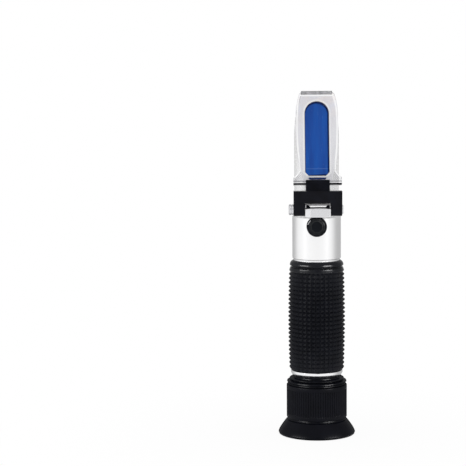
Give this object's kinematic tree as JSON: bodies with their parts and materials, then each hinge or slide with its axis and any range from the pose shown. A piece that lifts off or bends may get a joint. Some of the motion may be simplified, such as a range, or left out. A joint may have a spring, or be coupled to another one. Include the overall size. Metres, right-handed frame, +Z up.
{
  "type": "handheld brix refractometer",
  "caption": "Handheld optical refractometer standing on its eyecup: metal barrel with ribbed rubber grip, hinged clear plate over a sloping blue prism, rubber calibration cap, turning eyepiece.",
  "frame": {"origin": "centre of the eyecup's rim plane, on the optical axis", "axes": "+Z up the barrel's axis from the eyecup to the prism's tip, -Y to the front with the prism, its flap and the calibration cap, +X to the right of someone who faces the flap"},
  "size_m": [0.0382, 0.0382, 0.1708],
  "materials": {
    "barrel_metal": "smooth satin silver anodised, almost white in plain light",
    "tube_metal": "turned, silver",
    "head_metal": "cast and machined, satin silver",
    "bright_metal": "bright turned",
    "pin_metal": "turned nickel grey",
    "screw_steel": "turned",
    "brass": "turned",
    "strip_metal": "rolled two-metal strip",
    "black_metal": "matt black anodised",
    "bracket_black": "smooth black, slightly glossy",
    "housing_black": "smooth black",
    "grip_rubber": "black ribbed rubber",
    "sleeve_rubber": "black rubber with fine upright ribs",
    "eyecup_rubber": "soft matt black rubber",
    "cap_rubber": "matt black rubber",
    "clear_plate": "clear, polished",
    "prism_glass": "polished, deep blue from the filter behind it",
    "blue_filter": "blue filter",
    "pale_seal": "pale bedding compound",
    "lens_glass": "polished, clear"
  },
  "bodies": {
    "barrel": {"front_barrel": "barrel_metal", "body_tube": "tube_metal", "grip_sleeve": "grip_rubber", "rear_ring": "bright_metal", "head_casting": "head_metal", "head_screws": "screw_steel", "main_prism": "prism_glass", "blue_filter": "blue_filter", "prism_seal": "pale_seal", "calibration_bush": "brass", "carriage_guide": "black_metal", "light_baffles": "black_metal", "reticle_mount": "black_metal", "scale_reticle": "lens_glass", "reticle_ring": "black_metal", "focus_key": "screw_steel"},
    "flap": {"flap_bracket": "bracket_black", "daylight_plate": "clear_plate", "plate_screws": "screw_steel", "hinge_pin": "pin_metal"},
    "cap": {"calibration_cap": "cap_rubber"},
    "adjuster": {"calibration_screw": "brass", "screw_clip": "screw_steel"},
    "carriage": {"lens_carriage": "black_metal", "bimetal_strip": "strip_metal", "strip_screws": "screw_steel", "objective_cell": "black_metal", "objective_lens": "lens_glass", "objective_ring": "black_metal"},
    "ocular": {"ocular_cell": "black_metal", "field_lens": "lens_glass", "field_lens_ring": "black_metal", "eye_lens": "lens_glass", "eye_lens_ring": "black_metal"},
    "eyepiece": {"eyepiece_housing": "housing_black", "cell_retainer": "black_metal", "focus_sleeve": "sleeve_rubber", "eyecup": "eyecup_rubber"}
  },
  "joints": [
    {"name": "flap_hinge", "type": "hinge", "parent": "barrel", "child": "flap", "pos_m": [0, -0.0126, 0.1135], "axis": [1, 0, 0], "range_deg": [0, 95]},
    {"name": "focus_travel", "type": "slide", "parent": "barrel", "child": "ocular", "axis": [0, 0, 1], "range_m": [-0.00181, 0.00041]},
    {"name": "focus_turn", "type": "hinge", "parent": "ocular", "child": "eyepiece", "pos_m": [0, 0, 0.0129], "axis": [0, 0, 1], "range_deg": [-270, 60]},
    {"name": "cap_pull", "type": "slide", "parent": "barrel", "child": "cap", "axis": [0, -1, 0], "range_m": [0, 0.01]},
    {"name": "calibration_turn", "type": "hinge", "parent": "barrel", "child": "adjuster", "pos_m": [-0.0005, 0, 0.1051], "axis": [0, -1, 0], "range_deg": [-363, 363]},
    {"name": "carriage_slide", "type": "slide", "parent": "barrel", "child": "carriage", "axis": [0, -1, 0], "range_m": [-0.0005, 0.0005]}
  ],
  "couplings": [
    {"joint": "focus_travel", "follows": "focus_turn", "m_per_rad": 0.00038197},
    {"joint": "calibration_turn", "follows": "carriage_slide", "rad_per_m": 12566}
  ]
}
